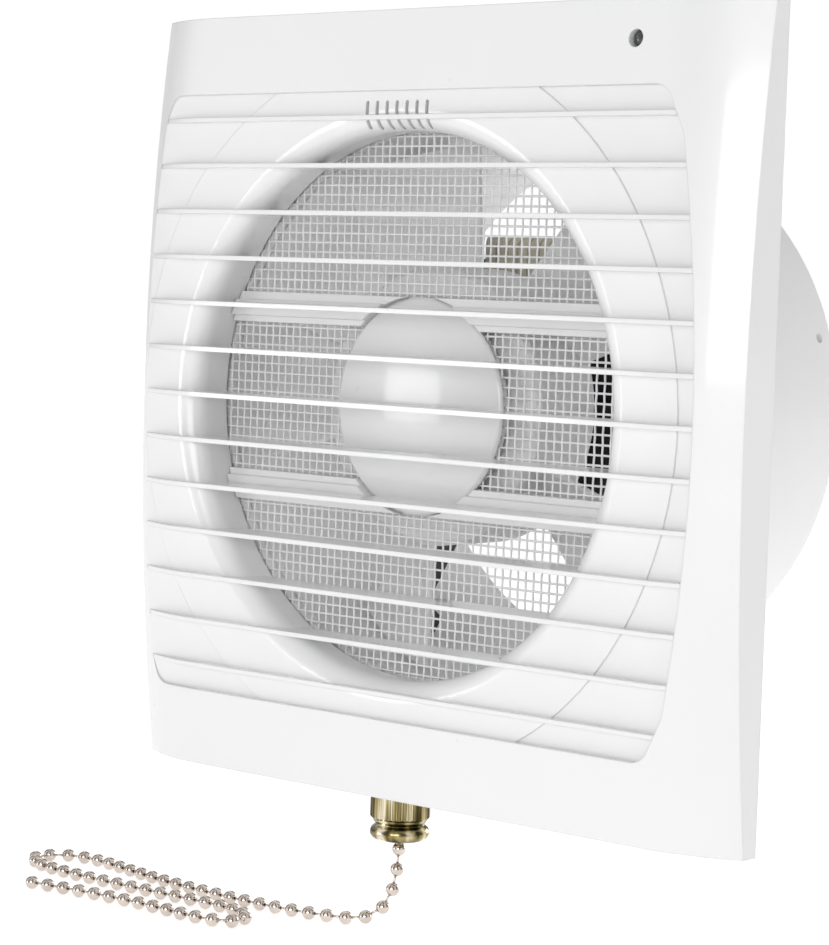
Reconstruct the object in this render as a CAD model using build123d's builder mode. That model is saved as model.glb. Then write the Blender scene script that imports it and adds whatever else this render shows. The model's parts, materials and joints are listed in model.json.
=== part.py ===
from build123d import *
import math
import os

os.makedirs("parts", exist_ok=True)

# Bathroom extractor fan for a 125 mm duct, with a pull-chain switch.
# Millimetres. X to the right as seen from the room, Y into the wall along the duct, +Z up.
# The origin is on the duct's axis in the plane of the wall.

# ---------------------------------------------------------------- driving dimensions
PANEL = 176.0              # the square front cover
PANEL_X = 6.2              # its centre stands this far right of the duct's axis
RIM_Y = -7.0               # rear rim of the cover, clear of the wall
CROWN = 16.3               # depth of the cover at the middle of its front
BARREL_DROP = 5.7          # how far the front falls back towards its top and bottom edges
ROLL_WIDTH = 22.0          # width of the rolled strip along each side edge
ROLL_DROP = 6.2            # how far that strip falls back
WALL = 2.2                 # the cover's wall
DUCT_R = 63.0              # outside radius of the duct spigot
DUCT_WALL = 2.0
DUCT_END_Y = 64.5
SPIGOT_NECK_R = 61.9       # the stretch of the spigot inside the rear housing
THROAT_R = 61.4            # inside radius of the cover's bell mouth
LIP_R = 4.6                # rounding of the bell mouth's front edge
NET_Y = -8.5               # plane of the insect net
NET_GAP = 0.9              # from the net to the back of the cover's throat
FIELD_HALF_X = 84.5        # the recessed louvre field, centred on the duct
FIELD_HALF_Z = 70.0
FIELD_STEP = 2.8           # how far the field's floor lies behind the front
FADE_WIDTH = 20.3          # the floor rises to meet the front this far into the side roll
DISH_R = 80.0              # a round plateau about the bell mouth, just proud of the floor
DISH_RISE = 0.3
FLOOR_WALL = 1.8
FLOOR_BARREL_R = 1000.0    # the floor is flatter than the front, so the step is less at top and bottom
SLAT_PITCH = 10.68
SLATS_EACH_SIDE = 6
SLAT_THICK = 1.1
SLAT_BACK_Y = -12.0
SLAT_LEFT = -78.8          # where the floor has all but risen to meet the front
VENT_SLOTS = 7
VENT_X = -1.4
VENT_PITCH = 2.95
VENT_WIDTH = 0.9
HUB_R = 24.5
BAR_TOP = 24.5             # the two cross bars of the net frame, mirrored about the axis
BAR_FOOT = 17.4
LAMP_X = 64.3
LAMP_Z = 79.5
LAMP_Y = -18.65            # the front surface there
LAMP_HOLE_R = 1.85
LAMP_DISH_R = 4.7
BASE = 160.0               # the rear housing, inset behind the cover
BASE_WALL = 2.0
BASE_FRONT_Y = -9.5
SCREW_SPACING = 144.0
SCREW_HOLE_R = 2.25
IMPELLER_R = 59.6
IMPELLER_HUB_R = 31.5
IMPELLER_FRONT_Y = -5.5    # rim of the hub's cup
IMPELLER_SEAT_Y = -3.5     # bottom of the recess that the nut tightens against
IMPELLER_BACK_Y = 15.0
BLADES = 5
BLADE_PHASE = 36.0         # angle of the first blade at rest, from +X towards +Z
MOUNT_Y = 24.0             # front of the plate that the motor hangs on
MOUNT_THICK = 2.2
STRUTS = 3
STACK_FRONT_Y = 32.0
STACK = 16.0               # thickness of the laminated stator
STACK_HALF_X = 24.0
STACK_FOOT = -22.0
STACK_TOP = 34.0
LIMB_FOOT = 26.0           # the limb over the rotor that the coil is wound on, up to the stack's top
MOTOR_SCREW_X = 19.3
ROTOR_R = 12.9
AIR_GAP = 0.35
SHAFT_R = 2.0
BUSH_CLEARANCE = 0.03
PULL_X = -2.5
PULL_Y = -8.5
NUT_TOP_Z = -88.2
NUT_END_Z = -98.6
NUT_R = 6.85
BUSH_R = 4.6
PLUNGER_R = 1.3
CHAIN_D = 3.2
NUT_FLUTES = 36
GROMMET_R = 6.0            # hole in the rear housing for the supply cable
DUCT_SCREW_Y = 59.2
DUCT_SCREW_ANGLE = 16.8
SURFACE_Z = -119.1         # the surface under the fan that the chain's slack lies on

PANEL_HALF = PANEL / 2
CROWN_Y = RIM_Y - CROWN
BARREL_R = (PANEL_HALF**2 + BARREL_DROP**2) / (2 * BARREL_DROP)
ROLL_R = (ROLL_WIDTH**2 + ROLL_DROP**2) / (2 * ROLL_DROP)
FADE_DROP = ROLL_R - math.sqrt(ROLL_R**2 - FADE_WIDTH**2) - FIELD_STEP
FLOOR_ROLL_R = (FADE_WIDTH**2 + FADE_DROP**2) / (2 * FADE_DROP)
BARREL_AXIS = Axis((0, CROWN_Y + BARREL_R, 0), (1, 0, 0))
FLOOR_AXIS = Axis((0, CROWN_Y + FIELD_STEP + FLOOR_BARREL_R, 0), (1, 0, 0))


def crowned_block(back_by, half_width, half_height, roll_r=ROLL_R, about=BARREL_AXIS):
    """The block under the cover's front, with its front surface set back by back_by.

    The front's section across the fan is flat with a rolled strip at each side. Turned
    about a distant horizontal axis, it makes the barrel shape.
    """
    flat_half = PANEL_HALF - ROLL_WIDTH
    front = CROWN_Y + back_by
    reach = 26
    drop = roll_r - math.sqrt(roll_r**2 - reach**2)
    left = PANEL_X - flat_half
    right = PANEL_X + flat_half
    with BuildPart(mode=Mode.PRIVATE) as block:
        with BuildSketch(Plane.XY):
            with BuildLine():
                Line((left, front), (right, front))
                RadiusArc((right, front), (right + reach, front + drop), -roll_r)
                Line((right + reach, front + drop), (right + reach, 30))
                Line((right + reach, 30), (left - reach, 30))
                Line((left - reach, 30), (left - reach, front + drop))
                RadiusArc((left - reach, front + drop), (left, front), -roll_r)
            make_face()
        revolve(axis=about, revolution_arc=20)
        turned = block.part.rotate(about, -10)
    with BuildPart(mode=Mode.PRIVATE) as trimmed:
        with BuildSketch(Plane.XZ.offset(-RIM_Y)):
            with Locations((PANEL_X, 0)):
                Rectangle(2 * half_width, 2 * half_height)
        extrude(amount=40)
        add(turned, mode=Mode.INTERSECT)
    return trimmed.part


def field_outline(grow=0.0):
    """The louvre field: a rounded rectangle whose sides bulge outwards."""
    half_x = FIELD_HALF_X + grow
    half_z = FIELD_HALF_Z + grow
    corner_x = half_x - 11
    shoulder_x = half_x - 6
    shoulder_z = half_z - 10
    with BuildSketch(mode=Mode.PRIVATE) as field:
        with BuildLine():
            Line((-corner_x, half_z), (corner_x, half_z))
            Line((corner_x, half_z), (shoulder_x, shoulder_z))
            ThreePointArc((shoulder_x, shoulder_z), (half_x, 0), (shoulder_x, -shoulder_z))
            Line((shoulder_x, -shoulder_z), (corner_x, -half_z))
            Line((corner_x, -half_z), (-corner_x, -half_z))
            Line((-corner_x, -half_z), (-shoulder_x, -shoulder_z))
            ThreePointArc((-shoulder_x, -shoulder_z), (-half_x, 0), (-shoulder_x, shoulder_z))
            Line((-shoulder_x, shoulder_z), (-corner_x, half_z))
        make_face()
        fillet(field.vertices(), 5)
    return field.sketch


def facing_room(depth):
    """A plane across the duct at y = depth, drawn as it is seen from the room."""
    return Plane(origin=(0, depth, 0), x_dir=(1, 0, 0), z_dir=(0, -1, 0))


def ring(outer, inner, y_front, y_back):
    """A plain ring about the duct's axis."""
    with BuildPart(mode=Mode.PRIVATE) as made:
        with BuildSketch(facing_room(y_back)):
            Circle(outer)
            Circle(inner, mode=Mode.SUBTRACT)
        extrude(amount=y_back - y_front)
    return made.part


def is_mouth_edge(edge):
    """True for the edge where the throat meets the field's floor."""
    points = [edge @ t for t in (0, 0.25, 0.5, 0.75, 1)]
    on_throat = all(abs(math.hypot(p.X, p.Z) - THROAT_R) < 0.01 for p in points)
    return on_throat and (edge @ 0.5).Y < -14


RIM_BACK_Y = -13.2         # back of the bell mouth's thick rim
SLAT_HEIGHTS = [SLAT_PITCH * i for i in range(-SLATS_EACH_SIDE, SLATS_EACH_SIDE + 1)]
MOUTH_FRONT = FIELD_STEP - DISH_RISE

# ---------------------------------------------------------------- front cover
with BuildPart() as front_cover:
    add(crowned_block(0, PANEL_HALF, PANEL_HALF))
    add(crowned_block(WALL, PANEL_HALF - WALL, PANEL_HALF - WALL, ROLL_R - WALL), mode=Mode.SUBTRACT)

    # the step down to the field's floor, and the floor itself
    with BuildPart(mode=Mode.PRIVATE) as field_fill:
        add(crowned_block(0, PANEL_HALF, PANEL_HALF))
        floor_back = FIELD_STEP + FLOOR_WALL
        add(
            crowned_block(floor_back, PANEL_HALF, PANEL_HALF, FLOOR_ROLL_R - FLOOR_WALL, FLOOR_AXIS),
            mode=Mode.SUBTRACT,
        )
        with BuildSketch(facing_room(0)):
            add(field_outline(FLOOR_WALL))
        extrude(amount=40, mode=Mode.INTERSECT)
    add(field_fill.part)

    # the thick rim that carries the bell mouth, and the throat behind it
    with BuildPart(mode=Mode.PRIVATE) as mouth_rim:
        add(crowned_block(MOUTH_FRONT, PANEL_HALF, PANEL_HALF, FLOOR_ROLL_R, FLOOR_AXIS))
        add(ring(THROAT_R + LIP_R + 1.4, THROAT_R - 2, -40, RIM_BACK_Y), mode=Mode.INTERSECT)
    add(mouth_rim.part)
    add(ring(THROAT_R + 2.6, THROAT_R - 2, -14, NET_Y - NET_GAP))

    with BuildPart(mode=Mode.PRIVATE) as plateau:
        add(crowned_block(MOUTH_FRONT, PANEL_HALF + 1, PANEL_HALF + 1, FLOOR_ROLL_R, FLOOR_AXIS))
        add(ring(DISH_R, THROAT_R - 5, -40, 0), mode=Mode.INTERSECT)
    with BuildPart(mode=Mode.PRIVATE) as field_cut:
        with BuildSketch(facing_room(0)):
            add(field_outline())
        extrude(amount=40)
        add(
            crowned_block(FIELD_STEP, PANEL_HALF + 1, PANEL_HALF + 1, FLOOR_ROLL_R, FLOOR_AXIS),
            mode=Mode.SUBTRACT,
        )
        add(plateau.part, mode=Mode.SUBTRACT)
    add(field_cut.part, mode=Mode.SUBTRACT)

    with BuildSketch(facing_room(0)):
        Circle(THROAT_R)
    extrude(amount=40, mode=Mode.SUBTRACT)
    fillet(front_cover.edges().filter_by(is_mouth_edge), LIP_R)

    # vent slots over the motor's cooling path, above the mouth
    with BuildSketch(facing_room(0)):
        with Locations((VENT_X, THROAT_R + 3.3)):
            with GridLocations(VENT_PITCH, 0, VENT_SLOTS, 1):
                SlotOverall(6.2, VENT_WIDTH, rotation=90)
    extrude(amount=40, mode=Mode.SUBTRACT)

    # pilot lamp's hole in a shallow dish, with a boss for the lamp behind it
    with BuildSketch(facing_room(-17.0)):
        with Locations((LAMP_X, LAMP_Z)):
            Circle(LAMP_HOLE_R + 1.6)
    extrude(amount=-5.5)
    with BuildSketch(facing_room(LAMP_Y - 0.8)):
        with Locations((LAMP_X, LAMP_Z)):
            Circle(LAMP_DISH_R + 0.9)
    with BuildSketch(facing_room(LAMP_Y + 1.3)):
        with Locations((LAMP_X, LAMP_Z)):
            Circle(LAMP_HOLE_R + 0.7)
    loft(mode=Mode.SUBTRACT)
    with BuildSketch(facing_room(0)):
        with Locations((LAMP_X, LAMP_Z)):
            Circle(LAMP_HOLE_R)
    extrude(amount=40, mode=Mode.SUBTRACT)

    # open notch in the bottom wall, so that the cover slides on over the switch's bush
    notch_half = BUSH_R + 0.4
    with BuildSketch(Plane.XY.offset(-PANEL_HALF - 1)):
        with Locations((PULL_X, PULL_Y)):
            Circle(notch_half)
        with Locations((PULL_X, PULL_Y + 5)):
            Rectangle(2 * notch_half, 10)
    extrude(amount=WALL + 2, mode=Mode.SUBTRACT)

    # four spring tongues that clip over the rear housing
    tongue_at = BASE / 2 + 0.3 + 0.8
    with BuildSketch(facing_room(-3.2)):
        with Locations(
            (PANEL_X - 45, tongue_at), (PANEL_X + 40, tongue_at),
            (PANEL_X - 45, -tongue_at), (PANEL_X + 45, -tongue_at),
        ):
            Rectangle(14, 1.6)
    extrude(amount=13.8)
    front_cover.part.label = "front_cover"
export_step(front_cover.part, "parts/front_cover.step")

# ---------------------------------------------------------------- louvre slats
# Moulded with the cover, and kept apart from it so that each slat is a plain solid. Their
# front edges follow the front of the cover, and their backs stand on the field's floor.
with BuildPart() as louvre_slats:
    slat_right = FIELD_HALF_X + 1
    with BuildSketch(facing_room(SLAT_BACK_Y)):
        with Locations(*[((SLAT_LEFT + slat_right) / 2, z) for z in SLAT_HEIGHTS]):
            Rectangle(slat_right - SLAT_LEFT, SLAT_THICK)
    extrude(amount=20)
    add(crowned_block(0, PANEL_HALF - 0.3, PANEL_HALF), mode=Mode.INTERSECT)
    with BuildSketch(facing_room(0)):
        add(field_outline(0.5))
    extrude(amount=40, mode=Mode.INTERSECT)
    # they go deeper than the floor only across the mouth
    with BuildPart(mode=Mode.PRIVATE) as behind_floor:
        add(crowned_block(FIELD_STEP, PANEL_HALF + 1, PANEL_HALF + 1, FLOOR_ROLL_R, FLOOR_AXIS))
        with BuildSketch(facing_room(RIM_BACK_Y)):
            Circle(THROAT_R + LIP_R + 1.3)
        extrude(amount=40, mode=Mode.SUBTRACT)
        with BuildSketch(facing_room(0)):
            Circle(THROAT_R)
        extrude(amount=40, mode=Mode.SUBTRACT)
    add(behind_floor.part, mode=Mode.SUBTRACT)
    add(front_cover.part, mode=Mode.SUBTRACT)
    louvre_slats.part.label = "louvre_slats"
export_step(louvre_slats.part, "parts/louvre_slats.step")

# ---------------------------------------------------------------- net frame, cap and net
NET_HALF = 0.2
BARS_FRONT_Y = -11.8
BARS_STEP_Y = -10.6
NET_RING_FRONT_Y = NET_Y + NET_HALF + 0.05
NET_RING_BACK_Y = -6.2

with BuildPart() as net_frame:
    add(ring(THROAT_R + 4.6, THROAT_R - 0.2, NET_RING_FRONT_Y, NET_RING_BACK_Y))
    bar_middle = (BAR_TOP + BAR_FOOT) / 2
    bar_height = BAR_TOP - BAR_FOOT
    with BuildPart(mode=Mode.PRIVATE) as bars:
        with BuildSketch(facing_room(NET_RING_BACK_Y)):
            with Locations((0, bar_middle), (0, -bar_middle)):
                Rectangle(2 * THROAT_R, bar_height)
        extrude(amount=NET_RING_BACK_Y - BARS_STEP_Y)
        with BuildSketch(facing_room(BARS_STEP_Y)):
            with Locations((0, bar_middle - 0.2), (0, -bar_middle + 0.2)):
                Rectangle(2 * THROAT_R, bar_height - 3.4)
        extrude(amount=BARS_STEP_Y - BARS_FRONT_Y)
        with BuildSketch(facing_room(0)):
            Circle(THROAT_R - 0.25)
        extrude(amount=20, mode=Mode.INTERSECT)
    add(bars.part)
    with BuildPart(mode=Mode.PRIVATE) as bar_feet:
        with BuildSketch(facing_room(NET_RING_BACK_Y)):
            with Locations((0, bar_middle), (0, -bar_middle)):
                Rectangle(2 * THROAT_R, bar_height)
        extrude(amount=NET_RING_BACK_Y - NET_RING_FRONT_Y)
        add(ring(THROAT_R + 1, THROAT_R - 4, -20, 0), mode=Mode.INTERSECT)
    add(bar_feet.part)
    with BuildSketch(facing_room(NET_RING_BACK_Y - 0.6)):
        Circle(HUB_R - 0.7)
    extrude(amount=2.1)
    with BuildSketch(facing_room(NET_Y - 0.5)):
        Circle(HUB_R + 0.3)
    extrude(amount=10, mode=Mode.SUBTRACT)
    with BuildSketch(facing_room(0)):
        with PolarLocations(15, 3, start_angle=90):
            Circle(1.6)
    extrude(amount=20, mode=Mode.SUBTRACT)
    net_frame.part.label = "net_frame"
export_step(net_frame.part, "parts/net_frame.step")

with BuildPart() as hub_cap:
    cap_back_y = NET_Y - 0.6
    inner_r = HUB_R - 1.6
    with BuildSketch(Plane.XY):
        with BuildLine():
            Line((0, cap_back_y - 1.4), (0, cap_back_y - 2.7))
            ThreePointArc((0, cap_back_y - 2.7), (14, cap_back_y - 2.15), (HUB_R - 0.8, cap_back_y - 1.0))
            ThreePointArc(
                (HUB_R - 0.8, cap_back_y - 1.0), (HUB_R - 0.2, cap_back_y - 0.6), (HUB_R, cap_back_y)
            )
            Line((HUB_R, cap_back_y), (inner_r, cap_back_y))
            ThreePointArc((inner_r, cap_back_y), (13, cap_back_y - 0.97), (0, cap_back_y - 1.4))
        make_face()
    revolve(axis=Axis.Y)
    with BuildSketch(facing_room(NET_RING_BACK_Y - 0.4)):
        with PolarLocations(15, 3, start_angle=90):
            Circle(1.5)
    extrude(amount=4.4)
    hub_cap.part.label = "hub_cap"
export_step(hub_cap.part, "parts/hub_cap.step")

# the net is moulded into the frame, so the bars and the hub part it into four panels
with BuildPart() as insect_screen:
    with BuildSketch(facing_room(NET_Y + NET_HALF)):
        Circle(THROAT_R + 2.6)
        with Locations((0, bar_middle), (0, -bar_middle)):
            Rectangle(3 * THROAT_R, bar_height + 0.1, mode=Mode.SUBTRACT)
        Circle(HUB_R + 0.4, mode=Mode.SUBTRACT)
    extrude(amount=2 * NET_HALF)
    insect_screen.part.label = "insect_screen"
export_step(insect_screen.part, "parts/insect_screen.step")

# ---------------------------------------------------------------- pilot lamp
with BuildPart() as pilot_lamp:
    with BuildSketch(Plane.XY):
        with BuildLine():
            lens_r = LAMP_HOLE_R - 0.12
            dome_y = LAMP_Y + 0.9
            dome_rise = 0.6
            Line((0, dome_y), (0, -10.9))
            Line((0, -10.9), (LAMP_HOLE_R + 0.8, -10.9))
            Line((LAMP_HOLE_R + 0.8, -10.9), (LAMP_HOLE_R + 0.8, -11.45))
            Line((LAMP_HOLE_R + 0.8, -11.45), (lens_r, -11.45))
            Line((lens_r, -11.45), (lens_r, dome_y + dome_rise))
            dome_r = (lens_r**2 + dome_rise**2) / (2 * dome_rise)
            RadiusArc((lens_r, dome_y + dome_rise), (0, dome_y), dome_r)
        make_face()
    revolve(axis=Axis.Y)
    pilot_lamp.part = pilot_lamp.part.moved(Location((LAMP_X, 0, LAMP_Z)))
    pilot_lamp.part.label = "pilot_lamp"
export_step(pilot_lamp.part, "parts/pilot_lamp.step")

# ---------------------------------------------------------------- rear housing
BASE_HALF = BASE / 2
CABLE_X = -63.0
CABLE_Z = 42.0
CLAMP_X = -60.5
CLAMP_Z = 56.0
CLAMP_SCREW_DX = 7.0
BLOCK_X = -44.0
BLOCK_Z = 72.0
BLOCK_WIDTH = 24.0
BLOCK_HEIGHT = 10.0

with BuildPart() as rear_housing:
    with BuildSketch(facing_room(0)):
        with Locations((PANEL_X, 0)):
            RectangleRounded(BASE, BASE, 4)
    extrude(amount=-BASE_FRONT_Y)
    with BuildSketch(facing_room(-2.2)):
        with Locations((PANEL_X, 0)):
            RectangleRounded(BASE - 2 * BASE_WALL, BASE - 2 * BASE_WALL, 2.5)
    extrude(amount=20, mode=Mode.SUBTRACT)
    # bosses for the wall screws and for the cable clamp
    with BuildSketch(facing_room(0)):
        with Locations((PANEL_X, 0)):
            with GridLocations(SCREW_SPACING, SCREW_SPACING, 2, 2):
                Circle(5)
    extrude(amount=5)
    with BuildSketch(facing_room(-2)):
        with Locations((CLAMP_X - CLAMP_SCREW_DX, CLAMP_Z), (CLAMP_X + CLAMP_SCREW_DX, CLAMP_Z)):
            Circle(2.8)
    extrude(amount=4)
    with BuildSketch(facing_room(0)):
        with Locations((PANEL_X, 0)):
            with GridLocations(SCREW_SPACING, SCREW_SPACING, 2, 2):
                Circle(SCREW_HOLE_R)
        Circle(DUCT_R + 0.05)
        with Locations((CABLE_X, CABLE_Z)):
            Circle(GROMMET_R)
    extrude(amount=20, mode=Mode.SUBTRACT)
    with BuildSketch(facing_room(-3)):
        with Locations((CLAMP_X - CLAMP_SCREW_DX, CLAMP_Z), (CLAMP_X + CLAMP_SCREW_DX, CLAMP_Z)):
            Circle(1.2)
    extrude(amount=20, mode=Mode.SUBTRACT)
    # open notch that the pull switch's bush drops into
    with BuildSketch(Plane.XY.offset(-BASE_HALF - 1)):
        with Locations((PULL_X, PULL_Y)):
            Circle(BUSH_R + 0.2)
        with Locations((PULL_X, PULL_Y - 5)):
            Rectangle(2 * BUSH_R + 0.4, 10)
    extrude(amount=BASE_WALL + 2, mode=Mode.SUBTRACT)
    rear_housing.part.label = "rear_housing"
export_step(rear_housing.part, "parts/rear_housing.step")

# ---------------------------------------------------------------- duct spigot and motor mount
with BuildPart() as duct_spigot:
    add(ring(DUCT_R, DUCT_R - DUCT_WALL, 0, DUCT_END_Y))
    add(ring(SPIGOT_NECK_R, DUCT_R - DUCT_WALL, -6, 0))
    spigot_end = duct_spigot.edges().filter_by(
        lambda e: e.geom_type == GeomType.CIRCLE and (e @ 0).Y > DUCT_END_Y - 0.01 and e.radius > DUCT_R - 0.1
    )
    fillet(spigot_end, 0.8)
    # flange that holds it against the rear housing's floor
    add(ring(DUCT_R + 3, SPIGOT_NECK_R - 0.4, -3.4, -2.25))
    # hole for a screw through the duct, near the spigot's end
    duct_screw = Plane(
        origin=(0, DUCT_SCREW_Y, 0),
        x_dir=(0, 1, 0),
        z_dir=(math.cos(math.radians(DUCT_SCREW_ANGLE)), 0, math.sin(math.radians(DUCT_SCREW_ANGLE))),
    )
    with BuildSketch(duct_screw):
        Circle(1.1)
    extrude(amount=80, mode=Mode.SUBTRACT)
    duct_spigot.part.label = "duct_spigot"
export_step(duct_spigot.part, "parts/duct_spigot.step")

# a plate on three struts, whose feet are fixed to the inside of the spigot
with BuildPart() as motor_mount:
    mount_back = facing_room(MOUNT_Y + MOUNT_THICK)
    with BuildSketch(mount_back):
        RectangleRounded(60, 46, 12)
    extrude(amount=MOUNT_THICK)
    with BuildSketch(mount_back):
        with PolarLocations(43, STRUTS):
            Rectangle(38, 3)
        with PolarLocations(DUCT_R - DUCT_WALL - 2, STRUTS):
            Rectangle(6, 14)
    extrude(amount=7)
    with BuildSketch(facing_room(100)):
        Circle(DUCT_R - DUCT_WALL - 0.05)
    extrude(amount=150, mode=Mode.INTERSECT)
    with BuildSketch(facing_room(40)):
        Circle(10)
        with Locations((MOTOR_SCREW_X, 0), (-MOTOR_SCREW_X, 0)):
            Circle(1.7)
    extrude(amount=30, mode=Mode.SUBTRACT)
    motor_mount.part.label = "motor_mount"
export_step(motor_mount.part, "parts/motor_mount.step")

# ---------------------------------------------------------------- supply cable's grommet and clamp
with BuildPart() as cable_grommet:
    with BuildSketch(facing_room(-0.1)):
        with Locations((CABLE_X, CABLE_Z)):
            Circle(GROMMET_R - 0.05)
            Circle(GROMMET_R - 2.2, mode=Mode.SUBTRACT)
    extrude(amount=2.2)
    with BuildSketch(facing_room(-2.25)):
        with Locations((CABLE_X, CABLE_Z)):
            Circle(GROMMET_R + 1.4)
            Circle(GROMMET_R - 2.2, mode=Mode.SUBTRACT)
    extrude(amount=1.6)
    fillet(cable_grommet.edges().filter_by(GeomType.CIRCLE).group_by(Axis.Y)[0], 0.5)
    cable_grommet.part.label = "cable_grommet"
export_step(cable_grommet.part, "parts/cable_grommet.step")

with BuildPart() as cable_clamp:
    with BuildSketch(facing_room(-6.05)):
        with Locations((CLAMP_X, CLAMP_Z)):
            SlotOverall(2 * CLAMP_SCREW_DX + 6, 5.6)
    extrude(amount=2)
    with BuildSketch(facing_room(-5.2)):
        with Locations((CLAMP_X, CLAMP_Z)):
            Rectangle(6.5, 3)
    extrude(amount=2)
    with BuildSketch(facing_room(0)):
        with Locations((CLAMP_X - CLAMP_SCREW_DX, CLAMP_Z), (CLAMP_X + CLAMP_SCREW_DX, CLAMP_Z)):
            Circle(1.4)
    extrude(amount=20, mode=Mode.SUBTRACT)
    cable_clamp.part.label = "cable_clamp"
export_step(cable_clamp.part, "parts/cable_clamp.step")


def pan_screw(x, z, head_y, head_r, shank_r, length):
    """A cross-recessed pan-head screw along the duct's direction, its head facing the room."""
    with BuildPart(mode=Mode.PRIVATE) as screw:
        with BuildSketch(facing_room(head_y)):
            with Locations((x, z)):
                Circle(head_r)
        extrude(amount=head_r * 0.6)
        fillet(screw.edges().filter_by(GeomType.CIRCLE).sort_by(Axis.Y)[0], head_r * 0.35)
        with BuildSketch(facing_room(head_y - head_r * 0.6)):
            with Locations((x, z)):
                Rectangle(head_r * 1.1, head_r * 0.22)
                Rectangle(head_r * 0.22, head_r * 1.1)
        extrude(amount=-head_r * 0.35, mode=Mode.SUBTRACT)
        with BuildSketch(facing_room(head_y)):
            with Locations((x, z)):
                Circle(shank_r)
        extrude(amount=-length)
    return screw.part


with BuildPart() as clamp_screws:
    add(pan_screw(CLAMP_X - CLAMP_SCREW_DX, CLAMP_Z, -8.1, 2.4, 1.15, 5))
    add(pan_screw(CLAMP_X + CLAMP_SCREW_DX, CLAMP_Z, -8.1, 2.4, 1.15, 5))
    clamp_screws.part.label = "clamp_screws"
export_step(clamp_screws.part, "parts/clamp_screws.step")

# ---------------------------------------------------------------- terminal block
TERMINALS = [BLOCK_X - 7.5, BLOCK_X, BLOCK_X + 7.5]
BLOCK_BACK_Y = -2.25
BLOCK_DEEP = 9.5
with BuildPart() as terminal_block:
    with BuildSketch(facing_room(BLOCK_BACK_Y)):
        with Locations((BLOCK_X, BLOCK_Z)):
            RectangleRounded(BLOCK_WIDTH, BLOCK_HEIGHT, 1)
    extrude(amount=BLOCK_DEEP - 2.5)
    with BuildSketch(facing_room(BLOCK_BACK_Y - BLOCK_DEEP + 2.5)):
        with Locations(*[(x, BLOCK_Z) for x in TERMINALS]):
            Circle(3.1)
    extrude(amount=2.5)
    with BuildSketch(facing_room(BLOCK_BACK_Y - 3)):
        with Locations(*[(x, BLOCK_Z) for x in TERMINALS]):
            Circle(2.1)
    extrude(amount=20, mode=Mode.SUBTRACT)
    with BuildSketch(Plane.XY.offset(BLOCK_Z - 20)):
        with Locations(*[(x, BLOCK_BACK_Y - 4) for x in TERMINALS]):
            Circle(1.6)
    extrude(amount=20 - 3.5, mode=Mode.SUBTRACT)
    terminal_block.part.label = "terminal_block"
export_step(terminal_block.part, "parts/terminal_block.step")

with BuildPart() as terminal_screws:
    for x in TERMINALS:
        add(pan_screw(x, BLOCK_Z, BLOCK_BACK_Y - 5.6, 2.0, 1.4, 2.5))
    terminal_screws.part.label = "terminal_screws"
export_step(terminal_screws.part, "parts/terminal_screws.step")

# ---------------------------------------------------------------- motor
STACK_BACK_Y = STACK_FRONT_Y + STACK
BORE_R = ROTOR_R + AIR_GAP
SHADE_HOLES = [(9.8, 12.2), (16.6, 10.6), (-9.8, -12.2), (-16.6, -10.6)]

with BuildPart() as stator_stack:
    with BuildSketch(facing_room(STACK_BACK_Y)):
        with Locations((0, (STACK_TOP + STACK_FOOT) / 2)):
            RectangleRounded(2 * STACK_HALF_X, STACK_TOP - STACK_FOOT, 2)
        Circle(BORE_R, mode=Mode.SUBTRACT)
        with Locations((0, (LIMB_FOOT + 17.5) / 2)):
            Rectangle(26, LIMB_FOOT - 17.5, mode=Mode.SUBTRACT)
        with Locations((MOTOR_SCREW_X, 0), (-MOTOR_SCREW_X, 0)):
            Circle(1.7, mode=Mode.SUBTRACT)
        with Locations(*SHADE_HOLES):
            Circle(1.0, mode=Mode.SUBTRACT)
    extrude(amount=STACK)
    stator_stack.part.label = "stator_stack"
export_step(stator_stack.part, "parts/stator_stack.step")

with BuildPart() as shading_rings:
    for (x1, z1), (x2, z2) in (SHADE_HOLES[:2], SHADE_HOLES[2:]):
        turn = math.degrees(math.atan2(z2 - z1, x2 - x1))
        span = math.hypot(x2 - x1, z2 - z1)
        with BuildSketch(facing_room(STACK_BACK_Y + 1.2)):
            with Locations((x1, z1), (x2, z2)):
                Circle(0.9)
        extrude(amount=STACK + 2.4)
        for y in (STACK_FRONT_Y - 0.1, STACK_BACK_Y + 1.9):
            with BuildSketch(facing_room(y)):
                with Locations(Location(((x1 + x2) / 2, (z1 + z2) / 2), turn)):
                    SlotCenterToCenter(span, 1.8)
            extrude(amount=1.8)
    shading_rings.part.label = "shading_rings"
export_step(shading_rings.part, "parts/shading_rings.step")

LIMB_MIDDLE = (STACK_TOP + LIMB_FOOT) / 2
LIMB_HEIGHT = STACK_TOP - LIMB_FOOT
STACK_MIDDLE_Y = (STACK_FRONT_Y + STACK_BACK_Y) / 2
LIMB_SIDE = Plane(origin=(0, STACK_MIDDLE_Y, LIMB_MIDDLE), x_dir=(0, 1, 0), z_dir=(1, 0, 0))

with BuildPart() as coil_bobbin:
    with BuildSketch(LIMB_SIDE):
        RectangleRounded(STACK + 2, LIMB_HEIGHT + 2, 0.8)
        Rectangle(STACK + 0.1, LIMB_HEIGHT + 0.1, mode=Mode.SUBTRACT)
    extrude(amount=12.4, both=True)
    for side in (12.0, -12.0):
        with BuildSketch(LIMB_SIDE.offset(side)):
            RectangleRounded(STACK + 11.2, LIMB_HEIGHT + 11.2, 2)
            Rectangle(STACK + 0.1, LIMB_HEIGHT + 0.1, mode=Mode.SUBTRACT)
        extrude(amount=0.4, both=True)
    coil_bobbin.part.label = "coil_bobbin"
export_step(coil_bobbin.part, "parts/coil_bobbin.step")

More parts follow.
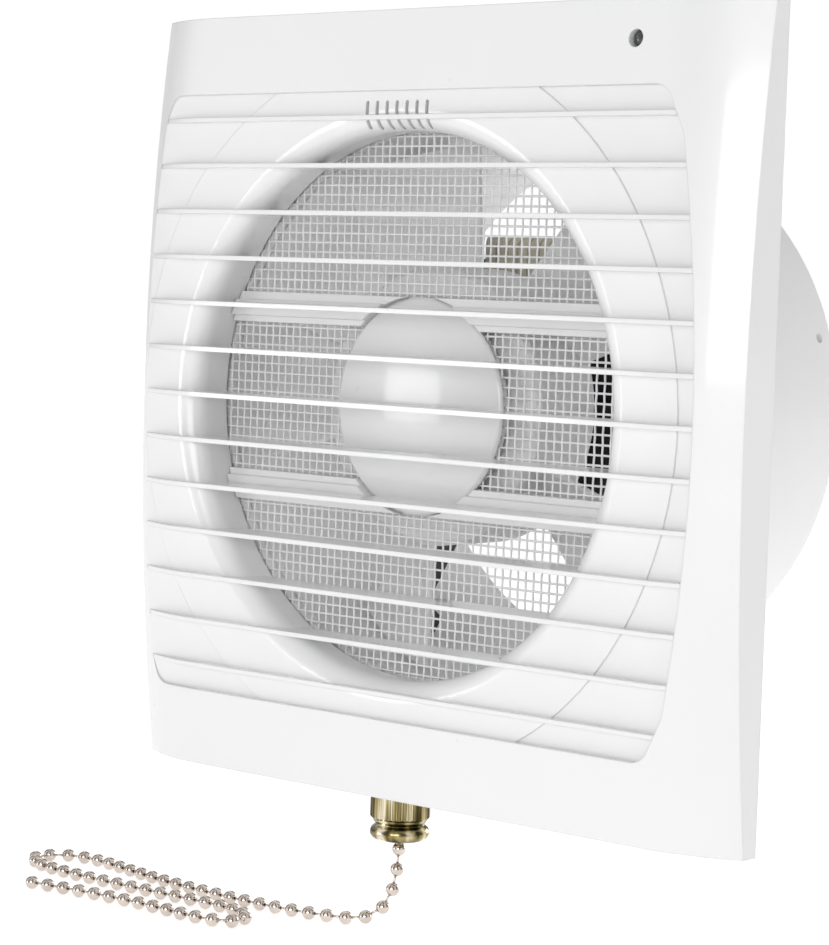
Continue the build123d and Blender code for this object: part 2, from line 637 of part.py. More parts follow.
with BuildPart() as coil_winding:
    with BuildSketch(LIMB_SIDE):
        RectangleRounded(STACK + 10, LIMB_HEIGHT + 10, 3)
        Rectangle(STACK + 2.1, LIMB_HEIGHT + 2.1, mode=Mode.SUBTRACT)
    extrude(amount=11.55, both=True)
    coil_winding.part.label = "coil_winding"
export_step(coil_winding.part, "parts/coil_winding.step")


def bearing_bracket(foot_y, outward):
    """A pressed strip across the motor that holds one bush; outward is -1 in front, 1 behind."""
    bridge_y = foot_y + outward * 3.6
    with BuildPart(mode=Mode.PRIVATE) as bracket:
        with BuildSketch(Plane.XY):
            with BuildLine():
                inner = [(24, 0), (14.5, 0), (11.5, 3.6), (-11.5, 3.6), (-14.5, 0), (-24, 0)]
                outer = [(-24, 1.5), (-15.3, 1.5), (-12.3, 5.1), (12.3, 5.1), (15.3, 1.5), (24, 1.5)]
                Polyline(*[(x, foot_y + outward * y) for x, y in inner + outer], close=True)
            make_face()
        extrude(amount=7, both=True)
        with BuildSketch(facing_room(bridge_y + 10)):
            Circle(4.55)
            with Locations((MOTOR_SCREW_X, 0), (-MOTOR_SCREW_X, 0)):
                Circle(1.7)
        extrude(amount=20, mode=Mode.SUBTRACT)
    return bracket.part


with BuildPart() as front_bracket:
    add(bearing_bracket(STACK_FRONT_Y, -1))
    front_bracket.part.label = "front_bearing_bracket"
export_step(front_bracket.part, "parts/front_bearing_bracket.step")

with BuildPart() as rear_bracket:
    add(bearing_bracket(STACK_BACK_Y, 1))
    rear_bracket.part.label = "rear_bearing_bracket"
export_step(rear_bracket.part, "parts/rear_bearing_bracket.step")

FRONT_BUSH_BACK_Y = STACK_FRONT_Y - 2.6
REAR_BUSH_FRONT_Y = STACK_BACK_Y + 2.6
for name, y_front, y_back in (
    ("front_bearing", FRONT_BUSH_BACK_Y - 4.2, FRONT_BUSH_BACK_Y),
    ("rear_bearing", REAR_BUSH_FRONT_Y, REAR_BUSH_FRONT_Y + 4.2),
):
    with BuildPart() as bush:
        add(ring(4.5, SHAFT_R + BUSH_CLEARANCE, y_front, y_back))
        chamfer(bush.edges().filter_by(lambda e: e.geom_type == GeomType.CIRCLE and e.radius > 4), 0.4)
        bush.part.label = name
    export_step(bush.part, "parts/" + name + ".step")

ROTOR_FRONT_Y = STACK_FRONT_Y - 1.0
ROTOR_BACK_Y = STACK_BACK_Y + 1.0
with BuildPart() as rotor:
    add(ring(ROTOR_R, SHAFT_R + 0.01, STACK_FRONT_Y, STACK_BACK_Y))
    add(ring(ROTOR_R - 0.6, SHAFT_R + 0.01, ROTOR_FRONT_Y, ROTOR_BACK_Y))
    rotor.part.label = "rotor"
export_step(rotor.part, "parts/rotor.step")

with BuildPart() as thrust_washers:
    add(ring(3.8, SHAFT_R + 0.05, FRONT_BUSH_BACK_Y + 0.1, ROTOR_FRONT_Y - 0.1))
    add(ring(3.8, SHAFT_R + 0.05, ROTOR_BACK_Y + 0.1, REAR_BUSH_FRONT_Y - 0.1))
    thrust_washers.part.label = "thrust_washers"
export_step(thrust_washers.part, "parts/thrust_washers.step")

SHAFT_FRONT_Y = IMPELLER_SEAT_Y - 2.3
SHAFT_BACK_Y = REAR_BUSH_FRONT_Y + 5.0
with BuildPart() as motor_shaft:
    with BuildSketch(facing_room(SHAFT_BACK_Y)):
        Circle(SHAFT_R)
    extrude(amount=SHAFT_BACK_Y - SHAFT_FRONT_Y)
    chamfer(motor_shaft.edges().filter_by(GeomType.CIRCLE), 0.3)
    motor_shaft.part.label = "motor_shaft"
export_step(motor_shaft.part, "parts/motor_shaft.step")

with BuildPart() as motor_grommets:
    grommet_back = STACK_FRONT_Y - 1.55
    with BuildSketch(facing_room(grommet_back)):
        with Locations((MOTOR_SCREW_X, 0), (-MOTOR_SCREW_X, 0)):
            Circle(3.4)
            Circle(1.75, mode=Mode.SUBTRACT)
    extrude(amount=grommet_back - MOUNT_Y - MOUNT_THICK - 0.05)
    motor_grommets.part.label = "motor_grommets"
export_step(motor_grommets.part, "parts/motor_grommets.step")

with BuildPart() as motor_screws:
    for x in (MOTOR_SCREW_X, -MOTOR_SCREW_X):
        add(pan_screw(x, 0, MOUNT_Y - 0.05, 3.0, 1.5, STACK_BACK_Y - MOUNT_Y + 4.6))
    motor_screws.part.label = "motor_screws"
export_step(motor_screws.part, "parts/motor_screws.step")

with BuildPart() as motor_nuts:
    with BuildSketch(facing_room(STACK_BACK_Y + 1.55 + 2.4)):
        with Locations((MOTOR_SCREW_X, 0), (-MOTOR_SCREW_X, 0)):
            RegularPolygon(2.75, 6, major_radius=False)
            Circle(1.52, mode=Mode.SUBTRACT)
    extrude(amount=2.4)
    motor_nuts.part.label = "motor_nuts"
export_step(motor_nuts.part, "parts/motor_nuts.step")

# ---------------------------------------------------------------- impeller
BLADE_ROOT_R = IMPELLER_HUB_R - 1.2
BLADE_TIP_R = IMPELLER_R + 2


def blade_section(radius, across, deep, angle):
    """A blade's section on a plane square to its radius; angle places it round the hub."""
    direction = (math.cos(angle), 0, math.sin(angle))
    round_axis = (-math.sin(angle), 0, math.cos(angle))
    middle_y = (IMPELLER_SEAT_Y + IMPELLER_BACK_Y) / 2
    plane = Plane(
        origin=(radius * direction[0], middle_y, radius * direction[2]),
        x_dir=round_axis,
        z_dir=direction,
    )
    chord = math.hypot(across, deep)
    pitch = math.degrees(math.atan2(deep, across))
    with BuildSketch(plane, mode=Mode.PRIVATE) as section:
        with Locations(Location((0, 0), pitch)):
            SlotOverall(chord, 1.5)
    return section.sketch


with BuildPart() as impeller_hub:
    with BuildSketch(Plane.XY):
        with BuildLine():
            hub_back = IMPELLER_BACK_Y - 1
            Polyline(
                (SHAFT_R + 0.01, IMPELLER_SEAT_Y),
                (IMPELLER_HUB_R - 11, IMPELLER_SEAT_Y),
                (IMPELLER_HUB_R - 9, IMPELLER_FRONT_Y),
                (IMPELLER_HUB_R - 1, IMPELLER_FRONT_Y),
                (IMPELLER_HUB_R, IMPELLER_FRONT_Y + 1),
                (IMPELLER_HUB_R, hub_back),
                (IMPELLER_HUB_R - 1.8, hub_back),
                (IMPELLER_HUB_R - 1.8, IMPELLER_FRONT_Y + 1.8),
                (IMPELLER_HUB_R - 8.4, IMPELLER_FRONT_Y + 1.8),
                (IMPELLER_HUB_R - 10.4, IMPELLER_SEAT_Y + 1.8),
                (5, IMPELLER_SEAT_Y + 1.8),
                (5, IMPELLER_BACK_Y + 3),
                (SHAFT_R + 0.01, IMPELLER_BACK_Y + 3),
                close=True,
            )
        make_face()
    revolve(axis=Axis.Y)
    impeller_hub.part.label = "impeller_hub"
export_step(impeller_hub.part, "parts/impeller_hub.step")

# the blades are moulded with the hub, and kept apart from it so that each is a plain solid
with BuildPart() as impeller_blades:
    for i in range(BLADES):
        blade_angle = math.radians(BLADE_PHASE + 360 * i / BLADES)
        root = blade_section(BLADE_ROOT_R, 17, 14, blade_angle)
        tip = blade_section(BLADE_TIP_R, 34, 13, blade_angle)
        with BuildPart(mode=Mode.PRIVATE) as blade:
            loft(sections=[root.face(), tip.face()])
            add(ring(IMPELLER_R, IMPELLER_HUB_R + 0.02, -50, 100), mode=Mode.INTERSECT)
        add(blade.part)
    impeller_blades.part.label = "impeller_blades"
export_step(impeller_blades.part, "parts/impeller_blades.step")

with BuildPart() as impeller_nut:
    with BuildSketch(facing_room(IMPELLER_SEAT_Y - 0.02)):
        RegularPolygon(3.5, 6, major_radius=False)
        Circle(SHAFT_R + 0.01, mode=Mode.SUBTRACT)
    extrude(amount=1.9)
    impeller_nut.part.label = "impeller_nut"
export_step(impeller_nut.part, "parts/impeller_nut.step")

# ---------------------------------------------------------------- pull switch
SWITCH_TOP_Z = -69.6
SWITCH_FOOT_Z = -77.9
SWITCH_LEFT = PULL_X - 14.5
SWITCH_RIGHT = PULL_X + 8.5
SWITCH_FRONT_Y = -14.4
SWITCH_BACK_Y = -3.6
CAM_X = PULL_X - 7.6
CAM_Z = -73.4
CAM_R = 2.6

with BuildPart() as switch_body:
    switch_middle = (SWITCH_LEFT + SWITCH_RIGHT) / 2
    with BuildSketch(facing_room(SWITCH_BACK_Y)):
        with Locations((switch_middle, (SWITCH_TOP_Z + SWITCH_FOOT_Z) / 2)):
            RectangleRounded(SWITCH_RIGHT - SWITCH_LEFT, SWITCH_TOP_Z - SWITCH_FOOT_Z, 1)
    extrude(amount=SWITCH_BACK_Y - SWITCH_FRONT_Y)
    with BuildSketch(facing_room(SWITCH_BACK_Y)):
        with Locations((switch_middle, (SWITCH_TOP_Z + SWITCH_FOOT_Z) / 2)):
            Rectangle(SWITCH_RIGHT - SWITCH_LEFT - 2.4, SWITCH_TOP_Z - SWITCH_FOOT_Z - 2.0)
    extrude(amount=SWITCH_BACK_Y - SWITCH_FRONT_Y - 1.2, mode=Mode.SUBTRACT)
    with BuildSketch(Plane.XY.offset(SWITCH_FOOT_Z - 1)):
        with Locations((PULL_X, PULL_Y)):
            Circle(PLUNGER_R + 0.3)
    extrude(amount=4, mode=Mode.SUBTRACT)
    with BuildSketch(facing_room(SWITCH_FRONT_Y + 1.0)):
        with Locations((CAM_X, CAM_Z)):
            Circle(0.8)
    extrude(amount=-9.2)
    switch_body.part.label = "switch_body"
export_step(switch_body.part, "parts/switch_body.step")

with BuildPart() as switch_lid:
    with BuildSketch(facing_room(SWITCH_BACK_Y + 1.1)):
        with Locations((switch_middle, (SWITCH_TOP_Z + SWITCH_FOOT_Z) / 2)):
            RectangleRounded(SWITCH_RIGHT - SWITCH_LEFT, SWITCH_TOP_Z - SWITCH_FOOT_Z, 1)
    extrude(amount=1.05)
    switch_lid.part.label = "switch_lid"
export_step(switch_lid.part, "parts/switch_lid.step")

with BuildPart() as switch_bush:
    with BuildSketch(Plane.XY.offset(NUT_END_Z + 1.6)):
        with Locations((PULL_X, PULL_Y)):
            Circle(BUSH_R)
            Circle(PLUNGER_R + 0.06, mode=Mode.SUBTRACT)
    extrude(amount=SWITCH_FOOT_Z - 0.05 - NUT_END_Z - 1.6)
    switch_bush.part.label = "switch_bush"
export_step(switch_bush.part, "parts/switch_bush.step")

with BuildPart() as knurled_nut:
    nut_side = Plane(origin=(PULL_X, PULL_Y, 0), x_dir=(1, 0, 0), z_dir=(0, -1, 0))
    with BuildSketch(nut_side):
        with BuildLine():
            waist_z = NUT_TOP_Z - 6.7
            bulge_z = NUT_TOP_Z - 8.8
            Polyline(
                (PLUNGER_R + 0.5, NUT_END_Z),
                (PLUNGER_R + 0.5, NUT_END_Z + 1.5),
                (BUSH_R + 0.02, NUT_END_Z + 1.5),
                (BUSH_R + 0.02, NUT_TOP_Z),
                (NUT_R, NUT_TOP_Z),
                (NUT_R, NUT_TOP_Z - 5.0),
                (NUT_R - 0.5, NUT_TOP_Z - 5.5),
            )
            Spline(
                (NUT_R - 0.5, NUT_TOP_Z - 5.5),
                (NUT_R - 1.25, waist_z),
                (NUT_R, bulge_z),
                tangents=((-0.3, -1), (0, -1)),
            )
            ThreePointArc((NUT_R, bulge_z), (NUT_R - 0.55, bulge_z - 1.0), (NUT_R - 2.2, NUT_END_Z))
            Line((NUT_R - 2.2, NUT_END_Z), (PLUNGER_R + 0.5, NUT_END_Z))
        make_face()
    revolve(axis=Axis((PULL_X, PULL_Y, 0), (0, 0, 1)))
    with BuildSketch(Plane.XY.offset(NUT_TOP_Z)):
        with Locations((PULL_X, PULL_Y)):
            with PolarLocations(NUT_R + 0.12, NUT_FLUTES):
                Circle(0.45)
    extrude(amount=-5.2, mode=Mode.SUBTRACT)
    knurled_nut.part.label = "knurled_nut"
export_step(knurled_nut.part, "parts/knurled_nut.step")

HEAD_TOP_Z = SWITCH_TOP_Z - 1.1
HEAD_THICK = 0.7
PLUNGER_END_Z = NUT_END_Z - 0.2
with BuildPart() as pull_plunger:
    with BuildSketch(Plane.XY.offset(HEAD_TOP_Z)):
        with Locations((PULL_X, PULL_Y)):
            Circle(2.6)
    extrude(amount=-HEAD_THICK)
    with BuildSketch(Plane.XY.offset(PLUNGER_END_Z)):
        with Locations((PULL_X, PULL_Y)):
            Circle(PLUNGER_R)
    extrude(amount=HEAD_TOP_Z - PLUNGER_END_Z)
    pull_plunger.part.label = "pull_plunger"
export_step(pull_plunger.part, "parts/pull_plunger.step")

SPRING_FOOT_Z = SWITCH_FOOT_Z + 1.1
SPRING_TOP_Z = HEAD_TOP_Z - HEAD_THICK - 0.1
with BuildPart() as return_spring:
    spring_wire = 0.22
    spring_r = 2.0
    coil_height = SPRING_TOP_Z - SPRING_FOOT_Z - 2 * spring_wire
    with BuildLine(Plane.XY.offset(0)) as spring_path:
        Helix(
            pitch=coil_height / 3.5,
            height=coil_height,
            radius=spring_r,
            center=(PULL_X, PULL_Y, SPRING_FOOT_Z + spring_wire),
        )
    with BuildSketch(Plane(origin=spring_path.line @ 0, z_dir=spring_path.line % 0)):
        Circle(spring_wire)
    sweep()
    return_spring.part.label = "return_spring"
export_step(return_spring.part, "parts/return_spring.step")

with BuildPart() as switch_cam:
    with BuildSketch(facing_room(-5.6)):
        with Locations((CAM_X, CAM_Z)):
            Circle(CAM_R - 0.5)
            with PolarLocations(CAM_R - 0.9, 4):
                Circle(0.9)
    extrude(amount=5.4)
    with BuildSketch(facing_room(0)):
        with Locations((CAM_X, CAM_Z)):
            Circle(0.85)
    extrude(amount=20, mode=Mode.SUBTRACT)
    switch_cam.part.label = "switch_cam"
export_step(switch_cam.part, "parts/switch_cam.step")

with BuildPart() as switch_contacts:
    with BuildSketch(facing_room(-6.0)):
        with Locations((CAM_X - 4.2, CAM_Z - 0.3), (CAM_X - 3.2, CAM_Z - 0.3)):
            Rectangle(0.4, 5.4)
    extrude(amount=4.5)
    switch_contacts.part.label = "switch_contacts"
export_step(switch_contacts.part, "parts/switch_contacts.step")

# ---------------------------------------------------------------- pull chain
# It hangs from the plunger and lies on the surface below in two flat loops. Each pair says
# how far a point of the slack lies to the left and away, as seen from the front right.
SIGHT = math.radians(41.5)
SLACK = [
    (5.5, 0), (17, 3.4), (31, 12.3), (45, 24.5), (57, 36.4), (67, 48.6), (75, 58.6), (84, 63.8),
    (91.3, 59.6), (88.6, 50.6), (79.5, 41.0), (66, 29.6), (52, 18.9), (38.2, 8.2), (33.2, -1.0),
    (37.6, -7.0), (46, -2.6), (55, 6.2), (67, 16.0), (78, 23.4), (90, 30.7),
]
CHAIN_Z = SURFACE_Z + CHAIN_D / 2
CHAIN_ROUTE = [(PULL_X, PULL_Y, PLUNGER_END_Z), (PULL_X, PULL_Y, -110.0)] + [
    (
        PULL_X - left * math.cos(SIGHT) - away * math.sin(SIGHT),
        PULL_Y - left * math.sin(SIGHT) + away * math.cos(SIGHT),
        CHAIN_Z,
    )
    for left, away in SLACK
]


def corner_radii(route):
    """The largest neat arc at each corner of a route: 0.45 of the shorter run sets its tangents."""
    radii = []
    points = [Vector(*p) for p in route]
    for before, corner, after in zip(points, points[1:], points[2:]):
        turn = math.radians((corner - before).get_angle(after - corner))
        shorter = min((corner - before).length, (after - corner).length)
        radii.append(0.45 * shorter / math.tan(turn / 2))
    return radii


with BuildPart() as pull_chain:
    radii = corner_radii(CHAIN_ROUTE)
    with BuildLine() as chain_path:
        FilletPolyline(*CHAIN_ROUTE, radius=radii)
    with BuildSketch(Plane(origin=CHAIN_ROUTE[0], z_dir=(0, 0, -1))):
        Circle(CHAIN_D / 2)
    sweep(path=chain_path.wire())
    pull_chain.part.label = "pull_chain"
export_step(pull_chain.part, "parts/pull_chain.step")
chain_length = chain_path.wire().length
print("chain radii", [round(r, 1) for r in radii])
print("chain length", round(chain_length, 1), "volume", round(pull_chain.part.volume, 1),
      "section x length", round(math.pi * CHAIN_D**2 / 4 * chain_length, 1))
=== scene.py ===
import json
import math

import bpy
import numpy as np
from mathutils import Matrix, Vector


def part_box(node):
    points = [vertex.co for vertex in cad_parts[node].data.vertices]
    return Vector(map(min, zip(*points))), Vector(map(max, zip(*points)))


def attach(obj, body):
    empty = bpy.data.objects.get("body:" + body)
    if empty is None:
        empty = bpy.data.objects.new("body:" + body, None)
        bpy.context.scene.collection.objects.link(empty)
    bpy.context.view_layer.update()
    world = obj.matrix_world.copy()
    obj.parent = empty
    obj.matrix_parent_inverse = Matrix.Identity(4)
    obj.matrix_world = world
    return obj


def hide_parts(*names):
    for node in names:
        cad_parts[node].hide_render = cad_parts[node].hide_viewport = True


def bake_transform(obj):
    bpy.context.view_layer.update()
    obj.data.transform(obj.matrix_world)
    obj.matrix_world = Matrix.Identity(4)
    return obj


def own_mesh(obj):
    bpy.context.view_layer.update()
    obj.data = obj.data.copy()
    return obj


# A bathroom extractor fan. Everything is in metres in the frame of the CAD model: X to the
# right as seen from the room, Y into the wall along the duct, Z up.

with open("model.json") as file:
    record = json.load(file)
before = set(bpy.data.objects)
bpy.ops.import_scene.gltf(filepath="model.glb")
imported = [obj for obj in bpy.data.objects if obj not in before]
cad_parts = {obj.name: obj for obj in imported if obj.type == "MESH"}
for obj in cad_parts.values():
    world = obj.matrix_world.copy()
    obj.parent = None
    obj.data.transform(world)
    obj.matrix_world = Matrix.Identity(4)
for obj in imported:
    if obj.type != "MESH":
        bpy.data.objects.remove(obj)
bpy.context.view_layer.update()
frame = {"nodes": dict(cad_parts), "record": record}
MM = 0.001
scene = bpy.context.scene
scene.view_settings.view_transform = "Standard"
scene.view_settings.look = "None"


# ------------------------------------------------------------------------------ camera
def add_camera():
    """The camera stands in front and to the right, at the photograph's angle."""
    azimuth = math.radians(41.544)
    elevation = math.radians(3.752)
    roll = math.radians(-1.896)
    aim = Vector((1.7, -12.2, -14.6)) * MM
    distance = 651.6 * MM
    back = Vector((
        math.sin(azimuth) * math.cos(elevation),
        -math.cos(azimuth) * math.cos(elevation),
        math.sin(elevation),
    ))
    right = Vector((math.cos(azimuth), math.sin(azimuth), 0))
    up = back.cross(right)
    turned_right = right * math.cos(roll) - up * math.sin(roll)
    turned_up = right * math.sin(roll) + up * math.cos(roll)
    camera = bpy.data.objects.new("camera", bpy.data.cameras.new("camera"))
    camera.data.lens = 110.96
    camera.data.sensor_width = 36
    camera.data.clip_start = 0.01
    camera.data.clip_end = 20
    rotation = Matrix((turned_right, turned_up, back)).transposed().to_4x4()
    camera.matrix_world = Matrix.Translation(aim + back * distance) @ rotation
    scene.collection.objects.link(camera)
    scene.camera = camera


add_camera()


# --------------------------------------------------------------------------- materials
# Every material, under its own name, which is its slot's name in the record.
MATERIALS = {}


class Nodes:
    """A short way to build the nodes of a world or, in Paint, of a material."""

    def __init__(self, owner):
        owner.use_nodes = True
        self.tree = owner.node_tree
        self.tree.nodes.clear()

    def add(self, kind, **values):
        """A node with some of its inputs, named with underscores for spaces, and settings."""
        node = self.tree.nodes.new(kind)
        for key, value in values.items():
            socket = key.replace("_", " ")
            if socket in node.inputs:
                node.inputs[socket].default_value = value
            else:
                setattr(node, key, value)
        return node

    def link(self, source, out_name, target, in_name):
        self.tree.links.new(source.outputs[out_name], target.inputs[in_name])


class Paint(Nodes):
    """A material's nodes, round one principled shader."""

    def __init__(self, name, **shader_values):
        material = bpy.data.materials.new(name)
        MATERIALS[name] = material
        super().__init__(material)
        self.shader = self.add("ShaderNodeBsdfPrincipled", **shader_values)
        output = self.add("ShaderNodeOutputMaterial")
        self.link(self.shader, "BSDF", output, "Surface")

    def noise(self, scale, detail=3.0, stretch=(1, 1, 1)):
        """Noise over the object's own coordinates; scale is in features per metre."""
        place = self.add("ShaderNodeTexCoord")
        mapping = self.add("ShaderNodeMapping", Scale=stretch)
        noise = self.add("ShaderNodeTexNoise", Scale=scale, Detail=detail)
        self.link(place, "Object", mapping, "Vector")
        self.link(mapping, "Vector", noise, "Vector")
        return noise

    def bands(self, period, direction, distortion=0.0):
        """Fine straight lines, one each period of metres, across the given direction."""
        place = self.add("ShaderNodeTexCoord")
        # At a scale of 1, a wave texture's lines are this many metres apart.
        period_at_scale_one = 2 * math.pi / 20
        wave = self.add(
            "ShaderNodeTexWave",
            bands_direction=direction,
            Distortion=distortion,
            Scale=period_at_scale_one / period,
        )
        self.link(place, "Object", wave, "Vector")
        return wave

    def ramp(self, source, out_name, stops, target, in_name):
        """Carries a 0 to 1 value onto a socket, as a colour between the stops."""
        ramp = self.add("ShaderNodeValToRGB")
        for element, (position, colour) in zip(ramp.color_ramp.elements, stops):
            element.position = position
            element.color = (*colour, 1)
        for position, colour in stops[2:]:
            ramp.color_ramp.elements.new(position).color = (*colour, 1)
        self.link(source, out_name, ramp, "Fac")
        self.link(ramp, "Color", target, in_name)

    def spread(self, source, out_name, low, high, target, in_name):
        """Carries a 0 to 1 value onto a socket, as a number from low to high."""
        span = self.add("ShaderNodeMapRange", To_Min=low, To_Max=high)
        self.link(source, out_name, span, "Value")
        self.link(span, "Result", target, in_name)

    def bump(self, source, out_name, height, strength=1.0, edge=0.0):
        """height is in metres, and so is edge, the radius that sharp edges look rounded to."""
        bump = self.add("ShaderNodeBump", Strength=strength, Distance=height)
        self.link(source, out_name, bump, "Height")
        self.link(bump, "Normal", self.shader, "Normal")
        if edge:
            rounded = self.add("ShaderNodeBevel", Radius=edge)
            self.link(rounded, "Normal", bump, "Normal")


def shade(colour, factor):
    return tuple(c * factor for c in colour)


def plastic(name, colour, roughness, specular=0.5, coat=0.0, peel=0.012 * MM, peel_scale=450, edge=0.0):
    """Moulded plastic: slightly uneven gloss, faint clouding and a fine orange peel."""
    paint = Paint(name, Specular_IOR_Level=specular, Coat_Weight=coat, Coat_Roughness=0.07)
    cloud = paint.noise(38, 4)
    paint.ramp(cloud, "Fac", [(0.3, shade(colour, 0.985)), (0.7, colour)], paint.shader, "Base Color")
    gloss = paint.noise(160, 5)
    paint.spread(gloss, "Fac", roughness * 0.8, roughness * 1.25, paint.shader, "Roughness")
    paint.bump(paint.noise(peel_scale, 2), "Fac", peel, 0.6, edge)


def metal(name, colour, roughness, scratch=(1, 1, 1), scratch_scale=900, dark=0.8):
    """Metal of uneven tone with fine marks, which a small scratch value draws out along its axis."""
    paint = Paint(name, Metallic=1.0)
    tone = paint.noise(220, 4)
    paint.ramp(tone, "Fac", [(0.3, shade(colour, dark)), (0.7, colour)], paint.shader, "Base Color")
    marks = paint.noise(scratch_scale, 4, scratch)
    paint.spread(marks, "Fac", roughness * 0.6, roughness * 1.5, paint.shader, "Roughness")
    paint.bump(marks, "Fac", 0.006 * MM, 0.5)


def laminations(name):
    """Stacked sheets of steel, seen as fine lines along the stack, with darker oxide."""
    paint = Paint(name, Metallic=0.9)
    sheets = paint.bands(0.5 * MM, "Y")
    oxide = (0.09, 0.09, 0.10)
    steel = (0.30, 0.31, 0.33)
    paint.ramp(sheets, "Fac", [(0.1, oxide), (0.6, steel)], paint.shader, "Base Color")
    stain = paint.noise(180, 5)
    paint.spread(stain, "Fac", 0.32, 0.55, paint.shader, "Roughness")
    paint.bump(sheets, "Fac", 0.04 * MM, 0.8)


def wound_tape(name):
    """Pale tape wound over a coil, each turn half over the last."""
    paint = Paint(name)
    turns = paint.bands(3.2 * MM, "X", 0.3)
    seam = (0.44, 0.40, 0.30)
    tape = (0.68, 0.64, 0.52)
    paint.ramp(turns, "Fac", [(0.0, seam), (0.25, tape)], paint.shader, "Base Color")
    weave = paint.noise(2600, 2)
    paint.spread(weave, "Fac", 0.4, 0.6, paint.shader, "Roughness")
    paint.bump(turns, "Fac", 0.1 * MM, 0.8)


def tarnished_brass_with_painted_reflections(name):
    """Bright plated brass, with painted reflections in upright streaks, whose hollows have gone olive
    brown.
    """
    # The streaks' colours are painted reflections: pale is a painted highlight, brown a painted dark
    # reflection, olive the brass between them.
    pale = (0.80, 0.72, 0.56)
    olive = (0.36, 0.30, 0.14)
    painted_dark_reflection = (0.06, 0.05, 0.018)
    clean = (1, 1, 1)
    grimy = (0.25, 0.25, 0.2)
    paint = Paint(name, Metallic=1.0)
    both = paint.add("ShaderNodeMixRGB", blend_type="MULTIPLY", Fac=1.0)
    # Upright streaks of painted reflection, stretched along Z.
    painted_reflection_streaks = paint.noise(230, 2, (1, 1, 0.12))
    paint.ramp(painted_reflection_streaks, "Fac", [(0.40, painted_dark_reflection), (0.50, olive), (0.60, pale)], both, "Color1")
    shape = paint.add("ShaderNodeNewGeometry")
    paint.ramp(shape, "Pointiness", [(0.44, grimy), (0.50, clean)], both, "Color2")
    paint.link(both, "Color", paint.shader, "Base Color")
    marks = paint.noise(1400, 4)
    paint.spread(marks, "Fac", 0.10, 0.22, paint.shader, "Roughness")
    paint.bump(marks, "Fac", 0.004 * MM, 0.4)


def lens_with_painted_shade_and_glints(name):
    """A small lens painted near-black for the shade in its hole, with paler streaks that are painted
    glints, under a clear gloss.
    """
    paint = Paint(name, Coat_Weight=0.8, Coat_Roughness=0.05)
    # The near-black colour paints the shade inside the lamp's hole, and the paler grey streak colour
    # paints glints.
    dark = (0.015, 0.017, 0.018)
    painted_glint_grey = (0.10, 0.11, 0.11)
    painted_reflection_streaks = paint.noise(1500, 3)
    paint.ramp(painted_reflection_streaks, "Fac", [(0.35, dark), (0.75, painted_glint_grey)], paint.shader, "Base Color")
    paint.spread(painted_reflection_streaks, "Fac", 0.05, 0.16, paint.shader, "Roughness")
    paint.bump(painted_reflection_streaks, "Fac", 0.02 * MM, 0.3)


def make_materials():
    """One material for each slot in the record."""
    white = (0.80, 0.80, 0.802)
    satin_white = shade(white, 1.06)
    net_white = (0.93, 0.93, 0.93)
    ivory = (0.66, 0.64, 0.57)
    black = (0.022, 0.022, 0.024)
    rubber_black = (0.016, 0.016, 0.017)
    plastic("white_gloss_plastic", white, 0.3, coat=0.6, edge=0.45 * MM)
    plastic("white_satin_plastic", satin_white, 0.34, specular=0.45, coat=0.05, edge=0.4 * MM)
    plastic("net_thread", net_white, 0.45, specular=0.4, peel=0.008 * MM, peel_scale=1800)
    plastic("nylon", ivory, 0.42, specular=0.45)
    plastic("black_rubber", rubber_black, 0.62, specular=0.3, peel=0.03 * MM, peel_scale=900)
    plastic("black_plastic", black, 0.36, peel=0.02 * MM, peel_scale=1200)
    metal("zinc_steel", (0.62, 0.63, 0.63), 0.26)
    metal("bright_steel", (0.66, 0.67, 0.68), 0.2, scratch=(1, 0.06, 1), scratch_scale=2400)
    metal("rotor_aluminium", (0.56, 0.57, 0.58), 0.34, scratch=(1, 0.05, 1), scratch_scale=1800)
    metal("bronze", (0.42, 0.27, 0.13), 0.38, scratch_scale=2200, dark=0.6)
    metal("copper", (0.72, 0.34, 0.20), 0.28)
    metal("brass", (0.70, 0.52, 0.22), 0.24)
    metal("nickel_chain", (0.70, 0.62, 0.56), 0.09, scratch_scale=1600, dark=0.82)
    laminations("lamination_steel")
    wound_tape("winding_tape")
    tarnished_brass_with_painted_reflections("polished_brass")
    lens_with_painted_shade_and_glints("lamp_lens")


make_materials()


def dress_cad_nodes():
    """Gives each CAD node the material of its slot."""
    for part in frame["record"]["subparts"]:
        node = frame["nodes"][part["node"]]
        node.data.materials.clear()
        node.data.materials.append(MATERIALS[part["material_slot"]])


dress_cad_nodes()


# ------------------------------------------------------------------------ mesh helpers
def new_piece(name, verts, faces, slot):
    """A smooth-shaded object of the given vertices and faces, in one material."""
    mesh = bpy.data.meshes.new(name)
    mesh.from_pydata([tuple(v) for v in verts], [], faces)
    mesh.update()
    mesh.polygons.foreach_set("use_smooth", [True] * len(mesh.polygons))
    mesh.materials.append(MATERIALS[slot])
    piece = bpy.data.objects.new(name, mesh)
    scene.collection.objects.link(piece)
    return piece


def add_tube(verts, faces, points, radius, sides, across):
    """Adds a closed round thread through the points; across is any direction off its line."""
    points = [Vector(p) for p in points]
    first = len(verts)
    for i, p in enumerate(points):
        ahead = points[min(i + 1, len(points) - 1)] - points[max(i - 1, 0)]
        side = ahead.cross(across).normalized()
        up = side.cross(ahead).normalized()
        for k in range(sides):
            turn = 2 * math.pi * k / sides
            verts.append(p + radius * (side * math.cos(turn) + up * math.sin(turn)))
    add_skin(faces, first, len(points), sides)


